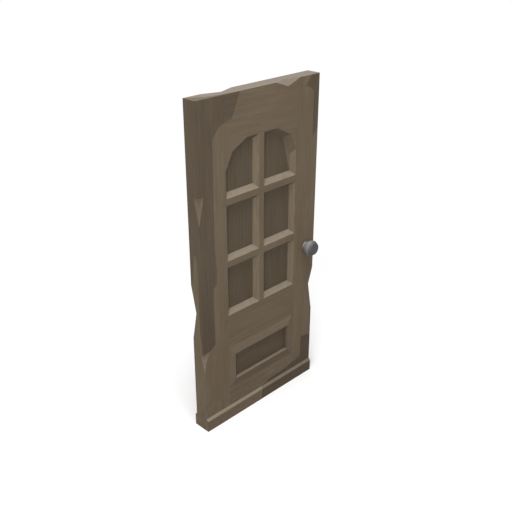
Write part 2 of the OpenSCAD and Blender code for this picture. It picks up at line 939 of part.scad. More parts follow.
// The bolt: a sloped tongue, a flat tail beside the hub with a slot for the hub's boss, two
// lugs that the hub's arms push, and a spigot in the spring
lug_x1 = knob_x - hub_arm_w / 2 - lug_gap;
lug_l = 9.3;
lug_x0 = lug_x1 - lug_l;
lug_z0 = 13.5;
tail_x0 = knob_x - 18;
tip_flat_y = -3;
tail_plate_half_z = 8;
spigot_r = 3;
spigot_l = 8;
slot_gap = 0.6;
slot_half_z = hub_boss_r + slot_gap;
module latch_bolt() {
    color(steel)
        difference() {
            union() {
                translate([0, 0, knob_z - bolt_h / 2])
                    linear_extrude(bolt_h)
                        polygon([[bolt_x0, -bolt_w / 2], [half_w + bolt_throw, -bolt_w / 2],
                            [half_w + bolt_throw, tip_flat_y], [half_w + 1, bolt_w / 2],
                            [bolt_x0, bolt_w / 2]]);
                block([spring_x0 - 10, tail_y0, knob_z - tail_plate_half_z],
                    [bolt_x0 + sliver, tail_y1, knob_z + tail_plate_half_z]);
                block([lug_x0, tail_y0, knob_z - tail_half_z],
                    [spring_x0, tail_y1, knob_z + tail_half_z]);
                block([tail_x0, tail_y0, knob_z - tail_strip_half_z],
                    [lug_x0 + 2, tail_y1, knob_z + tail_strip_half_z]);
                for (s = [0, 1])
                    mirror([0, 0, s])
                        translate([0, 0, (s == 0 ? 1 : -1) * knob_z])
                            block([lug_x0, -hub_half_y, lug_z0], [lug_x1, tail_y0 + 1, tail_half_z]);
                rod_x(bolt_x0 - spigot_l, spring_y, knob_z, spigot_r, spigot_l + sliver);
            }
            block([knob_x - hub_boss_r - slot_gap, 0, knob_z - slot_half_z],
                [knob_x + hub_boss_r + slot_gap + travel, half_t, knob_z + slot_half_z]);
        }
}

// The spring: a round wire swept round a helix, close-wound for one turn at each end
wire_sides = 8;
steps_a_turn = 16;
spring_l = bolt_x0 - spring_x0 - 0.2;
close_pitch = 2 * wire_r * 1.15;
open_l = spring_l - 2 * wire_r - 2 * close_pitch;
function spring_x(turn) = spring_x0 + 0.1 + wire_r +
    (turn < 1 ? close_pitch * turn :
    turn > spring_turns - 1 ? close_pitch * (turn - spring_turns + 2) + open_l :
    close_pitch + open_l * (turn - 1) / (spring_turns - 2));
wire_rings = [for (i = [0:spring_turns * steps_a_turn])
    let(turn = i / steps_a_turn, a = 360 * turn)
    [for (k = [0:wire_sides - 1])
        let(b = 360 * k / wire_sides, r = spring_r + wire_r * cos(b))
        [spring_x(turn) + wire_r * sin(b), spring_y + r * cos(a), knob_z + r * sin(a)]]];
wire_points = [for (ring = wire_rings) for (p = ring) p];
last_ring = len(wire_rings) - 1;
wire_faces = concat([[for (k = [0:wire_sides - 1]) k]],
    [for (i = [0:last_ring - 1], k = [0:wire_sides - 1])
        let(a = i * wire_sides, m = (k + 1) % wire_sides)
        [a + k, a + wire_sides + k, a + wire_sides + m, a + m]],
    [[for (k = [wire_sides - 1:-1:0]) last_ring * wire_sides + k]]);
module latch_spring() {
    color(steel)
        polyhedron(points = wire_points, faces = wire_faces);
}

module latch_case() {
    color(steel)
        difference() {
            union() {
                difference() {
                    block([case_x0, -case_half_y + case_skin, knob_z - case_half_z],
                        [case_x1, case_half_y, knob_z + case_half_z]);
                    block([case_x0 + case_wall, -half_t, knob_z - case_half_z + case_wall],
                        [case_x1 - case_wall, case_half_y - case_skin,
                            knob_z + case_half_z - case_wall]);
                }
                block([spring_x0 - 2, -case_half_y + case_skin, knob_z - case_half_z + 1],
                    [spring_x0, tail_y0 - 0.3, knob_z + case_half_z - 1]);
                for (s = [-1, 1])
                    rod_y(cover_screw_x0, -case_half_y + case_skin, knob_z + s * cover_screw_back_z,
                        post_r, 2 * case_half_y - 2 * case_skin + 0.5);
                for (z = [-case_half_z + 1, boss_z])
                    block([case_x1 - 10, -case_half_y + case_skin, knob_z + z],
                        [case_x1 - 1, case_half_y - 0.5, knob_z + z + case_half_z - boss_z - 1]);
            }
            block([case_x1 - 5, -bolt_w / 2 - run_gap, knob_z - bolt_h / 2 - run_gap],
                [case_x1 + past, bolt_w / 2 + run_gap, knob_z + bolt_h / 2 + run_gap]);
            rod_y(knob_x, 0, knob_z, hub_boss_r + run_gap, half_t);
            cover_screws(run_gap);
            faceplate_screws_case(run_gap);
        }
}

module latch_cover() {
    color(steel)
        difference() {
            block([case_x0, -case_half_y, knob_z - case_half_z],
                [case_x1, -case_half_y + case_skin, knob_z + case_half_z]);
            rod_y(knob_x, -half_t, knob_z, hub_boss_r + run_gap, half_t);
            cover_screws(run_gap);
        }
}

module faceplate() {
    color(steel)
        difference() {
            block([case_x1, -plate_half_y, knob_z - faceplate_h / 2],
                [half_w, plate_half_y, knob_z + faceplate_h / 2]);
            block([case_x1 - past, -bolt_w / 2 - run_gap, knob_z - bolt_h / 2 - run_gap],
                [half_w + past, bolt_w / 2 + run_gap, knob_z + bolt_h / 2 + run_gap]);
            faceplate_screws_wood(run_gap);
            faceplate_screws_case(run_gap);
        }
}

hinge_stile();
lock_stile();
top_rail();
mid_rail();
bottom_rail();
centre_bar();
upper_bar_left();
upper_bar_right();
lower_bar_left();
lower_bar_right();
top_light_board_left();
top_light_board_right();
middle_light_board_left();
middle_light_board_right();
bottom_light_board_left();
bottom_light_board_right();
lower_panel();
moulding_top(-1);  // front_moulding_top
moulding_bottom(-1);  // front_moulding_bottom
moulding_left(-1);  // front_moulding_left
moulding_right(-1);  // front_moulding_right
moulding_top(1);  // back_moulding_top
moulding_bottom(1);  // back_moulding_bottom
moulding_left(1);  // back_moulding_left
moulding_right(1);  // back_moulding_right
kickboard(-1);  // front_kickboard
kickboard(1);  // back_kickboard
color(steel) kick_nails(-1, 0);  // front_kick_nails
color(steel) kick_nails(1, 0);  // back_kick_nails
color(steel) moulding_pins(-1, 0);  // front_moulding_pins
color(steel) moulding_pins(1, 0);  // back_moulding_pins
knob(-1);  // outer_knob
knob(1);  // inner_knob
knob_cap(-1);  // outer_knob_cap
knob_cap(1);  // inner_knob_cap
rose(-1);  // outer_rose
rose(1);  // inner_rose
color(steel) rose_screws(-1, 0);  // outer_rose_screws
color(steel) rose_screws(1, 0);  // inner_rose_screws
grub_screw(-1);  // outer_grub_screw
grub_screw(1);  // inner_grub_screw
spindle();
latch_hub();
latch_bolt();
latch_spring();
latch_case();
latch_cover();
color(steel) cover_screws(0);  // latch_cover_screws
faceplate();
color(steel) faceplate_screws_wood(0);  // faceplate_wood_screws
color(steel) faceplate_screws_case(0);  // faceplate_case_screws
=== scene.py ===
"""A weathered, chipped timber door leaf with six boarded lights, mouldings and a knob latch."""

import math

import bpy
import numpy as np
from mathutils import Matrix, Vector


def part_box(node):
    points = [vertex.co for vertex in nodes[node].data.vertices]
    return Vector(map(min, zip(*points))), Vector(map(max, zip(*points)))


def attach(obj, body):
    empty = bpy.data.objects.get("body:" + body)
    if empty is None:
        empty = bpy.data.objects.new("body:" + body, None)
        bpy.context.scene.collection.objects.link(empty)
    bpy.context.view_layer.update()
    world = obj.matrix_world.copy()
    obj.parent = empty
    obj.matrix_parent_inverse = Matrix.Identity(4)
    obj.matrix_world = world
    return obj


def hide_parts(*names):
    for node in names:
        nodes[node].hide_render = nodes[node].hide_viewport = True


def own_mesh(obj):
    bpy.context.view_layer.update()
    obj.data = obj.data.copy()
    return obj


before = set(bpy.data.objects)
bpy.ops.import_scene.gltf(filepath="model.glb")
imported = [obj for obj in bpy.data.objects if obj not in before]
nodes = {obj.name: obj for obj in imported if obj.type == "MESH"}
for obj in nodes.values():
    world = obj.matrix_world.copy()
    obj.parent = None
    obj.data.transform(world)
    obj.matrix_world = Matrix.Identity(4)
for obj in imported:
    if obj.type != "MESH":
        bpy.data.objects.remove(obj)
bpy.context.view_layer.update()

# The leaf stands on the floor, centred on the origin: its half width, half thickness and height
HALF_W, HALF_T, LEAF_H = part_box("lock_stile")[1]


class Pattern:
    """A node tree being written: each method adds one node, or a short chain of them, and
    returns what comes out of it."""

    def __init__(self, tree):
        self.tree = tree

    def add(self, kind, **settings):
        made = self.tree.nodes.new(kind)
        for name, value in settings.items():
            setattr(made, name, value)
        return made

    def feed(self, socket, value):
        if isinstance(value, bpy.types.NodeSocket):
            self.tree.links.new(value, socket)
        else:
            socket.default_value = value

    def number(self, operation, *values):
        made = self.add("ShaderNodeMath", operation=operation)
        for socket, value in zip(made.inputs, values):
            self.feed(socket, value)
        return made.outputs[0]

    def total(self, first, *others):
        for other in others:
            first = self.number("ADD", first, other)
        return first

    def product(self, first, *others):
        for other in others:
            first = self.number("MULTIPLY", first, other)
        return first

    def largest(self, first, *others):
        for other in others:
            first = self.number("MAXIMUM", first, other)
        return first

    def rest(self, share):
        """What a share leaves of the whole."""
        return self.number("SUBTRACT", 1.0, share)

    def about_half(self, noise, width):
        """A noise that lies about a half, as a shift of either sign, width wide in all."""
        return self.product(self.number("SUBTRACT", noise, 0.5), width)

    def vector(self, operation, *values):
        made = self.add("ShaderNodeVectorMath", operation=operation)
        for socket, value in zip(made.inputs, values):
            self.feed(socket, value)
        return made.outputs["Value" if operation in ("DOT_PRODUCT", "LENGTH") else "Vector"]

    def split(self, value):
        made = self.add("ShaderNodeSeparateXYZ")
        self.feed(made.inputs[0], value)
        return made.outputs[0], made.outputs[1], made.outputs[2]

    def join(self, x, y, z):
        made = self.add("ShaderNodeCombineXYZ")
        for socket, value in zip(made.inputs, (x, y, z)):
            self.feed(socket, value)
        return made.outputs[0]

    def noise(self, place, scale, detail=2.0, roughness=0.5):
        """scale is one number, or three for noise drawn out along an axis."""
        if isinstance(scale, tuple):
            place = self.vector("MULTIPLY", place, scale)
            scale = 1.0
        made = self.add("ShaderNodeTexNoise", noise_dimensions="3D")
        self.feed(made.inputs["Vector"], place)
        made.inputs["Scale"].default_value = scale
        made.inputs["Detail"].default_value = detail
        made.inputs["Roughness"].default_value = roughness
        return made.outputs["Fac"]

    def ramp(self, value, low, high, to_low=0.0, to_high=1.0, smooth=True):
        """value carried from low..high to to_low..to_high, held at both ends."""
        made = self.add("ShaderNodeMapRange", clamp=True,
                        interpolation_type="SMOOTHSTEP" if smooth else "LINEAR")
        for name, given in (("Value", value), ("From Min", low), ("From Max", high),
                            ("To Min", to_low), ("To Max", to_high)):
            self.feed(made.inputs[name], given)
        return made.outputs[0]

    def fall(self, value, low, high):
        """1 up to low, 0 from high on."""
        return self.ramp(value, low, high, 1.0, 0.0)

    def mix(self, share, a, b, how="MIX"):
        made = self.add("ShaderNodeMix", data_type="RGBA", blend_type=how)
        for socket, value in ((made.inputs[0], share), (made.inputs[6], a), (made.inputs[7], b)):
            self.feed(socket, value)
        return made.outputs[2]

    def course(self, value, corners, value_span, result_span):
        """The straight-sided line through corners, which are (value, result) pairs in rising
        order of value. The spans are the lowest and highest value and result it may take."""
        low, high = value_span
        out_low, out_high = result_span
        made = self.add("ShaderNodeFloatCurve")
        mapping = made.mapping
        mapping.use_clip = False
        mapping.extend = "HORIZONTAL"
        line = mapping.curves[0]
        while len(line.points) > 2:
            line.points.remove(line.points[1])
        placed = [((v - low) / (high - low), (r - out_low) / (out_high - out_low))
                  for v, r in corners]
        line.points[0].location = placed[0]
        line.points[1].location = placed[-1]
        for spot in placed[1:-1]:
            line.points.new(*spot)
        for spot in line.points:
            spot.handle_type = "VECTOR"
        mapping.update()
        share = self.number("DIVIDE", self.number("SUBTRACT", value, low), high - low)
        self.feed(made.inputs["Value"], share)
        made.inputs["Factor"].default_value = 1.0
        return self.number("MULTIPLY_ADD", made.outputs[0], out_high - out_low, out_low)

    def group(self, tree, **given):
        made = self.add("ShaderNodeGroup", node_tree=tree)
        for name, value in given.items():
            self.feed(made.inputs[name], value)
        return made.outputs


NUMBER, COLOUR, VECTOR = "NodeSocketFloat", "NodeSocketColor", "NodeSocketVector"


def new_group(name, takes, gives):
    """An empty node group with the given inputs and outputs, ready to be written."""
    tree = bpy.data.node_groups.new(name, "ShaderNodeTree")
    for title, kind in takes:
        tree.interface.new_socket(title, in_out="INPUT", socket_type=kind)
    for title, kind in gives:
        tree.interface.new_socket(title, in_out="OUTPUT", socket_type=kind)
    into = tree.nodes.new("NodeGroupInput")
    out = tree.nodes.new("NodeGroupOutput")
    return Pattern(tree), into.outputs, out.inputs


def new_material(name):
    """An empty material, the writer of its nodes, and its shader."""
    made = bpy.data.materials.new(name)
    made.use_nodes = True
    w = Pattern(made.node_tree)
    shader = next(n for n in made.node_tree.nodes if n.type == "BSDF_PRINCIPLED")
    return made, w, shader


# Where the finish has gone dark, as corners of its edges in metres

# Hinge side of each face: how far in from the hinge edge the dark reaches, by height
HINGE_DARK = [(0.0, -0.470), (0.5455, -0.470), (0.547, -0.424), (0.564, -0.392),
              (0.576, -0.373), (0.937, -0.375), (0.963, -0.348), (1.051, -0.346),
              (1.236, -0.358), (1.786, -0.353), (1.822, -0.327), (1.847, -0.299),
              (1.860, -0.262), (1.866, -0.220), (1.886, -0.209), (2.0, -0.158)]
# Lock side: where the dark starts, by height
LOCK_DARK = [(0.0, 0.470), (1.634, 0.470), (1.638, 0.418), (1.898, 0.416), (1.910, 0.411),
             (1.927, 0.393), (1.937, 0.371), (1.941, 0.342), (1.953, 0.354), (2.0, 0.396)]
# The same patch's lower edge, by distance across
LOCK_DARK_FOOT = [(0.0, 1.638), (0.418, 1.638), (0.460, 1.687), (0.47, 1.69)]
# Foot: how high the dark climbs, by distance across
FOOT_DARK = [(-0.47, 0.0), (-0.004, 0.0), (0.002, 0.086), (0.083, 0.111), (0.224, 0.118),
             (0.272, 0.134), (0.321, 0.134), (0.340, 0.145), (0.366, 0.145), (0.371, 0.301),
             (0.460, 0.279), (0.47, 0.277)]
# Hinge edge: the paler tongue's two sides, by height
TONGUE_FRONT = [(0.0, -0.03), (0.575, -0.027), (0.703, -0.015), (1.022, -0.019),
                (1.128, -0.011), (1.167, 0.0), (2.0, 0.0)]
TONGUE_BACK = [(0.0, 0.05), (0.938, 0.050), (0.9381, 0.038), (1.069, 0.019), (1.145, 0.009),
               (1.167, 0.0), (2.0, 0.0)]
# Top: how far back the dark reaches, by distance across
TOP_DARK = [(-0.47, 0.050), (-0.450, 0.038), (-0.361, -0.016), (-0.272, -0.034),
            (-0.158, -0.0445), (-0.150, -0.06), (0.47, -0.06)]

SPAN_X, SPAN_Y, SPAN_Z = (-0.47, 0.47), (-0.06, 0.06), (0.0, 2.0)
# How near to the leaf's flat faces wood counts as on them, and half the width of a patch's edge
ON_FACE = 0.0004
PATCH_EDGE = 0.0012

# Where one tone gives way to the other between two heights, or two distances across
# The tongue ends at its tip, and under its root the hinge edge is pale all over
TONGUE_TIP, TONGUE_ROOT = (1.165, 1.169), (0.531, 0.534)
# The lock edge is dark under the first of these and over the second
LOCK_EDGE_LOW, LOCK_EDGE_HIGH = (0.276, 0.282), (1.682, 1.690)
# The back's hinge side is pale under the top of its own broken edge, as far in as this
BACK_BREAK_TOP, BACK_BREAK_SIDE = (0.930, 0.946), (-0.1, -0.09)
# The upper notch in the hinge edge: its foot and top, how far in it goes, and how far back
NOTCH_FOOT, NOTCH_TOP = (1.330, 1.331), (1.506, 1.507)
NOTCH_IN, NOTCH_BACK = (-0.4215, -0.4210), (-0.0085, -0.0080)


def write_dark_patches():
    """Group: 1 where the old finish has gone dark on the leaf's outer faces, 0 elsewhere.
    Each face compares a place with the straight-sided edges above. Broken wood lies off those
    faces and stays pale, but for the oldest break, the upper notch in the hinge edge."""
    w, takes, gives = new_group("dark_patches", [("Place", VECTOR)], [("Dark", NUMBER)])
    x, y, z = w.split(takes["Place"])
    # the edges of a patch follow the fibres, so they waver by a few millimetres
    fray = w.about_half(w.noise(takes["Place"], (260.0, 260.0, 22.0), detail=3.0), 0.006)

    def short_of(value, edge):
        past = w.number("SUBTRACT", w.total(value, fray), edge)
        return w.fall(past, -PATCH_EDGE, PATCH_EDGE)

    def on_low_face(value, face):
        return w.fall(value, face + ON_FACE, face + 2 * ON_FACE)

    def on_high_face(value, face):
        return w.ramp(value, face - 2 * ON_FACE, face - ON_FACE)

    hinge = short_of(x, w.course(z, HINGE_DARK, SPAN_Z, SPAN_X))
    lock = w.product(w.rest(short_of(x, w.course(z, LOCK_DARK, SPAN_Z, SPAN_X))),
                     w.rest(short_of(z, w.course(x, LOCK_DARK_FOOT, SPAN_X, SPAN_Z))))
    foot = short_of(z, w.course(x, FOOT_DARK, SPAN_X, SPAN_Z))
    front = w.largest(hinge, lock, foot)
    back = w.product(front, w.largest(w.ramp(z, *BACK_BREAK_TOP), w.ramp(x, *BACK_BREAK_SIDE)))

    hinge_edge = w.largest(short_of(y, w.course(z, TONGUE_FRONT, SPAN_Z, SPAN_Y)),
                           w.rest(short_of(y, w.course(z, TONGUE_BACK, SPAN_Z, SPAN_Y))),
                           w.ramp(z, *TONGUE_TIP))
    hinge_edge = w.product(hinge_edge, w.ramp(z, *TONGUE_ROOT))
    lock_edge = w.largest(w.ramp(z, *LOCK_EDGE_HIGH), w.fall(z, *LOCK_EDGE_LOW))
    top = short_of(y, w.course(x, TOP_DARK, SPAN_X, SPAN_Y))
    notch = w.product(w.ramp(z, *NOTCH_FOOT), w.fall(z, *NOTCH_TOP),
                      w.fall(x, *NOTCH_IN), w.fall(y, *NOTCH_BACK))

    w.feed(gives["Dark"], w.largest(notch,
                                    w.product(on_low_face(y, -HALF_T), front),
                                    w.product(on_high_face(y, HALF_T), back),
                                    w.product(on_low_face(x, -HALF_W), hinge_edge),
                                    w.product(on_high_face(x, HALF_W), lock_edge),
                                    w.product(on_high_face(z, LEAF_H), top)))
    return w.tree


# Bare wood

RING_SPACING = 0.009
CHECK_SPACING = 0.052
PLAIN_WOOD = (0.141, 0.102, 0.063, 1)
BLEACHED_WOOD = (0.152, 0.117, 0.075, 1)
LATE_WOOD = (0.085, 0.060, 0.036, 1)
INSIDE_CHECK = (0.030, 0.023, 0.017, 1)
# What the dark finish adds to red, green and blue, as shares of them
DARK_SHADE = (-0.335, -0.338, -0.340)


def write_timber():
    """Group: old softwood as a solid. Place runs along the grain in Z. Rings are shells round a
    wandering pith, and fibres are noise drawn out along the grain. Drying checks are edges
    between cells along one line, across the grain, that wander a little and open and close.
    Side is 1 on the faces across which a check runs in Y, and Checked is 0 where none are."""
    w, takes, gives = new_group(
        "timber", [("Place", VECTOR), ("Dark", NUMBER), ("Side", NUMBER), ("Checked", NUMBER)],
        [("Colour", COLOUR), ("Roughness", NUMBER), ("Height", NUMBER)])
    place, dark = takes["Place"], takes["Dark"]
    x, y, z = w.split(place)

    # the grain wanders a little as it climbs
    sway = w.noise(place, (1.5, 1.5, 0.9), detail=1.0)
    lean = w.noise(w.vector("ADD", place, (3.1, 7.7, 0.0)), (7.0, 7.0, 2.4))
    drift = w.total(w.about_half(sway, 0.10), w.about_half(lean, 0.028))
    gx = w.total(x, drift)
    gy = w.total(y, w.product(drift, 0.6))
    grain = w.join(gx, gy, z)

    # each ring darkens slowly to a hard edge
    radius = w.number("SQRT", w.total(w.product(gx, gx), w.product(gy, gy)))
    ring = w.number("FRACT", w.product(radius, 1 / RING_SPACING))
    late = w.product(w.ramp(ring, 0.25, 0.90), w.fall(ring, 0.93, 1.0))

    fibre = w.noise(grain, (520.0, 520.0, 9.0), detail=3.0, roughness=0.65)
    streak = w.noise(grain, (85.0, 85.0, 2.2), detail=3.0, roughness=0.6)
    cloud = w.noise(place, (6.0, 6.0, 2.5), detail=3.0, roughness=0.55)
    bleach = w.noise(w.vector("ADD", place, (1.7, 2.9, 5.3)), (14.0, 14.0, 3.0), detail=4.0,
                     roughness=0.6)

    # checks: hair cracks along the grain, in some stretches only
    over = w.total(w.product(gx, w.rest(takes["Side"])), w.product(gy, takes["Side"]))
    jog = w.noise(w.join(over, 0.0, z), (22.0, 1.0, 11.0), detail=3.0, roughness=0.6)
    over = w.total(over, w.about_half(jog, 0.010))
    cells = w.add("ShaderNodeTexVoronoi", voronoi_dimensions="1D", feature="DISTANCE_TO_EDGE")
    w.feed(cells.inputs["W"], over)
    cells.inputs["Scale"].default_value = 1 / CHECK_SPACING
    off_line = w.product(cells.outputs["Distance"], CHECK_SPACING)
    width = w.ramp(w.noise(w.join(over, 4.4, z), (13.0, 1.0, 2.6)), 0.54, 0.72, 0.0, 0.0011)
    check = w.product(w.ramp(w.number("SUBTRACT", width, off_line), 0.0, 0.0005),
                      takes["Checked"])

    # colour: a grey brown, darker in the late wood, paler and greyer where it has bleached
    colour = w.mix(w.ramp(bleach, 0.35, 0.70), PLAIN_WOOD, BLEACHED_WOOD)
    colour = w.mix(w.product(late, 0.34), colour, LATE_WOOD)
    tone = w.total(w.product(streak, 0.42), w.product(fibre, 0.30), w.product(cloud, 0.24), 0.52)
    colour = w.mix(1.0, colour, w.join(tone, tone, tone), "MULTIPLY")
    shade = w.vector("MULTIPLY_ADD", w.join(dark, dark, dark), DARK_SHADE, (1.0, 1.0, 1.0))
    colour = w.mix(1.0, colour, shade, "MULTIPLY")
    w.feed(gives["Colour"], w.mix(w.product(check, 0.75), colour, INSIDE_CHECK))

    w.feed(gives["Roughness"], w.total(w.product(fibre, 0.18), 0.72, w.product(late, -0.06)))
    w.feed(gives["Height"], w.total(w.product(late, 0.00022), w.product(fibre, 0.00030),
                                    w.product(streak, 0.0006), w.product(check, -0.0014),
                                    w.product(dark, -0.0003)))
    return w.tree


dark_patches = write_dark_patches()
timber = write_timber()


# The leaf's timber, one finish for each member

# Shares by how far up a face looks: painted shade is most on the ones that look down, and dust
# with a painted sheen lies thinly on steep breaks and thickly on ledges
UNDERSIDE_PAINTED_SHADE = [(-1.0, 0.45), (-0.65, 0.45), (-0.24, 0.22), (-0.06, 0.0), (1.0, 0.0)]
DUST_AND_SHEEN_BY_RISE = [(-1.0, 0.0), (0.05, 0.0), (0.13, 0.30), (0.35, 0.35), (0.62, 1.0), (1.0, 1.0)]
SPAN_RISE, SPAN_SHARE = (-1.0, 1.0), (0.0, 1.0)
ARRIS_R = 0.002
CORNER_REACH = 0.030
# Damp fades out between these heights, splashes end at the next, and the dust and painted sheen
# are thickest and greyest over the last
DAMP_HEIGHTS = (0.25, 1.35)
SPLASH_HEIGHT = 0.40
HIGH_UP = (1.5, 1.95)
# The break in the top edge lies over this height, and the side of it darkened with painted shade
# between these places
BREAK_FOOT = (1.960, 1.962)
SHADED_SIDE_FROM, SHADED_SIDE_TO = (0.2000, 0.2015), (0.3000, 0.3010)
RUBBED_WOOD = (0.240, 0.195, 0.145, 1)
DAMP_LEAVES = (0.735, 0.665, 0.58, 1)
# pale dust with a painted sheen on faces that look up, low down and high up
LOW_DUST_AND_SHEEN, HIGH_DUST_AND_SHEEN = (0.290, 0.252, 0.205, 1), (0.195, 0.180, 0.158, 1)
# the dark of dirt, and of painted shade
DIRT_AND_PAINTED_SHADE = (0.062, 0.048, 0.035, 1)
# Stands for the patches above, where a member's darkness is asked for
PATCHES = None


class Member:
    """What the layers of a timber finish ask of a place on one member."""

    def __init__(self, w, level, dark):
        self.own = w.add("ShaderNodeTexCoord").outputs["Object"]
        self.x, y, self.z = w.split(self.own)
        self.flat = w.add("ShaderNodeNewGeometry").outputs["True Normal"]
        nx, self.ny, nz = (w.number("ABSOLUTE", part) for part in w.split(self.flat))
        self.rise = w.split(self.flat)[2]
        self.end_on = nx if level else nz
        self.square_on = w.largest(nx, self.ny, nz)
        self.rounded = w.add("ShaderNodeBevel", samples=4)
        self.rounded.inputs["Radius"].default_value = ARRIS_R
        open_air = w.add("ShaderNodeAmbientOcclusion", samples=4)
        open_air.inputs["Distance"].default_value = CORNER_REACH
        self.open_air = open_air.outputs["AO"]
        self.patchy = w.noise(self.own, 38.0, detail=3.0, roughness=0.6)
        self.dark = dark
        if dark is PATCHES:
            self.dark = w.group(dark_patches, Place=self.own)["Dark"]
        elif isinstance(dark, list):
            past = w.number("SUBTRACT", self.x, w.course(self.z, dark, SPAN_Z, SPAN_X))
            self.dark = w.ramp(past, -0.001, 0.001, 1.0, -0.4)


def worn_arrises(w, at, colour):
    """Where a rounded-off normal leaves the face's own, the finish has rubbed away."""
    turned = w.rest(w.vector("DOT_PRODUCT", at.rounded.outputs[0], at.flat))
    worn = w.product(w.ramp(turned, 0.02, 0.16), w.ramp(at.patchy, 0.38, 0.62),
                     w.ramp(at.open_air, 0.45, 0.80))
    return w.mix(w.product(worn, 0.28), colour, RUBBED_WOOD)


def damp_foot(w, at, colour):
    """The wood goes darker toward the foot, where it stays damp, and the dark finish most."""
    damp = w.product(w.fall(at.z, *DAMP_HEIGHTS), w.ramp(at.dark, 0.5, 1.0, 0.22, 1.0))
    return w.mix(damp, colour, w.mix(1.0, colour, DAMP_LEAVES, "MULTIPLY"))


def dust_and_painted_sheen(w, at, colour, up):
    """Ledges and tops are bleached by the weather, hold pale dust and carry a painted sheen, most
    near the top, where a dark finish holds less of it than bare wood does. Splays are painted a
    little paler, as painted light."""
    high = w.ramp(at.z, *HIGH_UP)
    # dust, with a painted sheen, on faces that look up
    lying_dust_and_sheen = w.product(w.ramp(high, 0.0, 1.0, 0.36, 0.49, smooth=False),
                      w.ramp(at.patchy, 0.3, 0.7, 0.85, 1.15))
    slides_off = w.product(w.ramp(high, 0.0, 1.0, 0.15, 0.67, smooth=False), at.dark)
    lying_dust_and_sheen = w.product(up, lying_dust_and_sheen, w.rest(slides_off))
    # painted light: splays that do not look down are made paler
    painted_splay_light = w.product(w.ramp(at.square_on, 0.80, 0.90, 0.07, 0.0),
                        w.ramp(at.rise, -0.30, -0.12))
    return w.mix(w.largest(lying_dust_and_sheen, painted_splay_light), colour, w.mix(high, LOW_DUST_AND_SHEEN, HIGH_DUST_AND_SHEEN))


def old_dirt_and_painted_shade(w, at, colour, up):
    """Dirt and painted shade in the corners, painted shade on the undersides, dirt thrown up at
    the foot, and painted shade down one side of the break in the top."""
    # dirt and painted shade where the air is closed in
    corners = w.product(w.fall(at.open_air, 0.15, 0.65),
                        w.ramp(at.patchy, 0.25, 0.65, 0.30, 0.65))
    splash = w.product(w.ramp(at.z, 0.0, SPLASH_HEIGHT, 0.36, 0.0), w.ramp(at.patchy, 0.40, 0.66))
    # painted shade on faces that look down
    underside_shade = w.course(at.rise, UNDERSIDE_PAINTED_SHADE, SPAN_RISE, SPAN_SHARE)
    dirt_and_shade_share = w.product(w.largest(corners, splash, underside_shade), w.rest(up),
                     w.ramp(at.rise, 0.03, 0.13, 1.0, 0.3))
    # painted shade down one side of the break in the top
    broken_top = w.product(w.ramp(at.z, *BREAK_FOOT), w.ramp(at.ny, 0.3, 0.4),
                           w.fall(at.ny, 0.9, 0.95))
    stain = w.product(w.ramp(at.x, *SHADED_SIDE_FROM), w.fall(at.x, *SHADED_SIDE_TO), 0.25)
    return w.mix(w.largest(dirt_and_shade_share, w.product(broken_top, stain)), colour, DIRT_AND_PAINTED_SHADE)


def timber_finish(name, level, pith, dark):
    """Old timber for one member. level turns the grain to run across instead of up; pith is
    where the log's heart lies, from the leaf's origin, so that no two members match. dark is a
    number (below 0 for wood paler than most), PATCHES for those that the leaf's outer faces
    carry, or the corners of an edge, dark on its hinge side and pale past it."""
    made, w, shader = new_material(name)
    at = Member(w, level, dark)
    turn = w.add("ShaderNodeMapping", vector_type="POINT")
    w.feed(turn.inputs["Vector"], at.own)
    turn.inputs["Rotation"].default_value = (0.0, math.radians(90) if level else 0.0, 0.0)
    turn.inputs["Location"].default_value = pith
    # end grain, splays and the slender bars are free of checks
    checked = w.product(w.fall(at.end_on, 0.3, 0.4),
                        w.ramp(at.square_on, 0.96, 0.98, 0.0, 0.0 if "bar" in name else 1.0))
    wood = w.group(timber, Place=turn.outputs[0], Dark=at.dark,
                   Side=w.fall(at.ny, 0.49, 0.51), Checked=checked)

    up = w.course(at.rise, DUST_AND_SHEEN_BY_RISE, SPAN_RISE, SPAN_SHARE)
    colour = worn_arrises(w, at, wood["Colour"])
    colour = damp_foot(w, at, colour)
    colour = dust_and_painted_sheen(w, at, colour, up)
    colour = old_dirt_and_painted_shade(w, at, colour, up)
    w.feed(shader.inputs["Base Color"], colour)
    w.feed(shader.inputs["Roughness"], wood["Roughness"])
    shader.inputs["IOR"].default_value = 1.45
    shader.inputs["Specular IOR Level"].default_value = 0.45
    relief = w.add("ShaderNodeBump")
    relief.inputs["Strength"].default_value = 0.8
    relief.inputs["Distance"].default_value = 1.0
    w.feed(relief.inputs["Height"], wood["Height"])
    w.feed(relief.inputs["Normal"], at.rounded.outputs[0])
    w.feed(shader.inputs["Normal"], relief.outputs[0])
    return made


